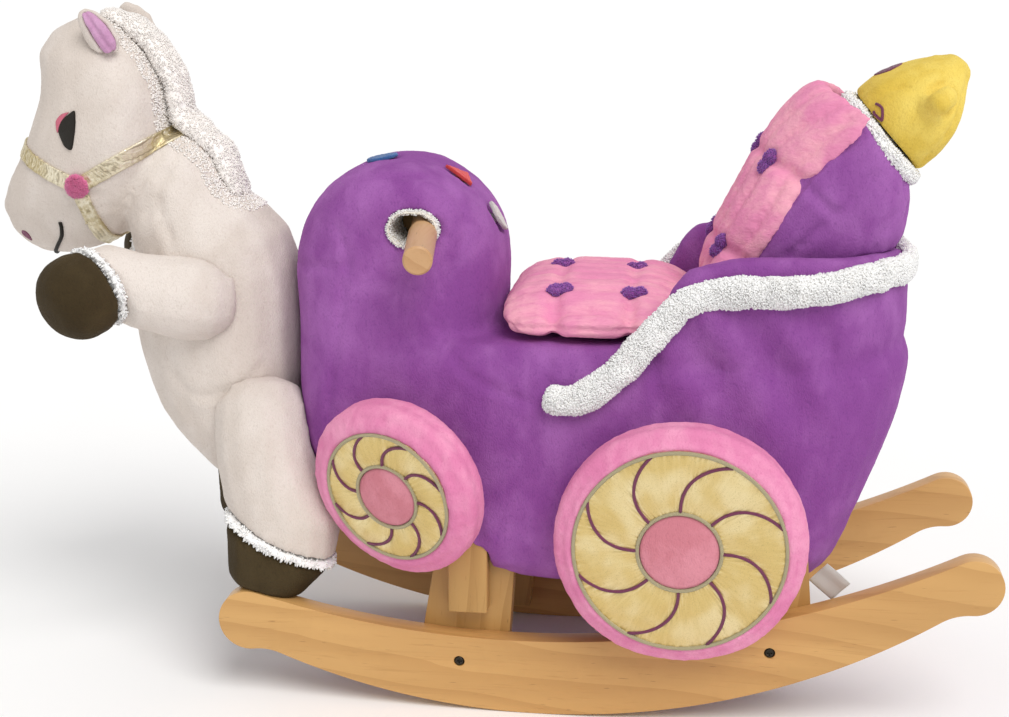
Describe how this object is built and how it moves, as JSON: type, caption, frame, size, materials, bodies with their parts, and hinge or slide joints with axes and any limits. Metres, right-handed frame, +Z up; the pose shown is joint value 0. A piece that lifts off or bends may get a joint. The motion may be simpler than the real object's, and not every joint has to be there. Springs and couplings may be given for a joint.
{
  "type": "plush rocking ride-on toy",
  "caption": "Stuffed horse-and-carriage ride-on toy on curved wooden rocker bows, with a padded seat, handle pegs, cloth wheels and song buttons",
  "frame": {"origin": "on the floor under the middle of the whole toy, on its mid-plane", "axes": "+X along the bows towards the rear (the horse faces -X), +Y to the horse's right, +Z up"},
  "size_m": [0.8114, 0.3158, 0.5419],
  "materials": {
    "maple": "clear satin lacquer over pale straight-grained hardwood",
    "pine": "planed, bare",
    "dark_screw": "black phosphate",
    "zinc_screw": "zinc plated",
    "white_plastic": "fine texture",
    "black_plastic": "smooth",
    "cell_wrap": "printed wrap left plain",
    "blue_patch": "embroidered",
    "red_patch": "embroidered",
    "white_patch": "embroidered",
    "purple_plush": "short pile plush over polyester stuffing",
    "cream_lining": "short pile plush",
    "white_fur": "long pile",
    "pink_plush": "short pile plush, quilted",
    "yellow_plush": "short pile plush",
    "gold_cloth": "crinkled metallic cloth with stitched cord",
    "white_plush": "short pile plush over polyester stuffing",
    "lilac_plush": "short pile plush",
    "dark_thread": "embroidered",
    "pink_felt": "wool pompom",
    "brown_plush": "short pile plush",
    "tape": "woven tape, left bare"
  },
  "bodies": {
    "toy": {"rocker_left": "maple", "rocker_right": "maple", "leg_front_left": "pine", "leg_front_right": "pine", "leg_rear_left": "pine", "leg_rear_right": "pine", "glue_blocks": "pine", "cross_rails": "pine", "seat_board": "pine", "handle_post": "pine", "back_board": "pine", "handle_left": "maple", "handle_right": "maple", "rocker_screws": "dark_screw", "frame_screws": "zinc_screw", "sound_case": "white_plastic", "battery_door": "white_plastic", "speaker": "black_plastic", "battery_cells": "cell_wrap", "button_switches": "black_plastic", "carriage_body": "purple_plush", "handle_lining_left": "cream_lining", "handle_lining_right": "cream_lining", "side_wing_left": "purple_plush", "side_wing_right": "purple_plush", "fur_trim_left": "white_fur", "fur_trim_right": "white_fur", "backrest": "purple_plush", "seat_cushion": "pink_plush", "seat_tufts": "purple_plush", "back_cushion": "pink_plush", "back_tufts": "purple_plush", "crown": "yellow_plush", "crown_band": "white_fur", "wheel_front_left": "pink_plush", "wheel_front_right": "pink_plush", "wheel_rear_left": "pink_plush", "wheel_rear_right": "pink_plush", "wheel_faces": "gold_cloth", "wheel_hubs": "pink_plush", "horse_body": "white_plush", "horse_head": "white_plush", "horse_mane": "white_fur", "horse_ears": "white_plush", "ear_linings": "lilac_plush", "horse_eyes": "dark_thread", "bridle": "gold_cloth", "pompoms": "pink_felt", "foreleg_left": "white_plush", "foreleg_right": "white_plush", "hindleg_left": "white_plush", "hindleg_right": "white_plush", "hooves": "brown_plush", "leg_cuffs": "white_fur", "horse_tail": "lilac_plush", "label_tag": "tape"},
    "button_circle": {"song_button_circle": "blue_patch"},
    "button_triangle": {"song_button_triangle": "red_patch"},
    "button_leaf": {"song_button_leaf": "white_patch"}
  },
  "joints": [
    {"name": "press_circle", "type": "slide", "parent": "toy", "child": "button_circle", "axis": [0.1994, 0, -0.9799], "range_m": [0, 0.003], "stiffness_N_per_m": 400, "springref_m": -0.001},
    {"name": "press_triangle", "type": "slide", "parent": "toy", "child": "button_triangle", "axis": [-0.5592, 0, -0.829], "range_m": [0, 0.003], "stiffness_N_per_m": 400, "springref_m": -0.001},
    {"name": "press_leaf", "type": "slide", "parent": "toy", "child": "button_leaf", "axis": [-0.8988, 0, -0.4384], "range_m": [0, 0.003], "stiffness_N_per_m": 400, "springref_m": -0.001}
  ]
}
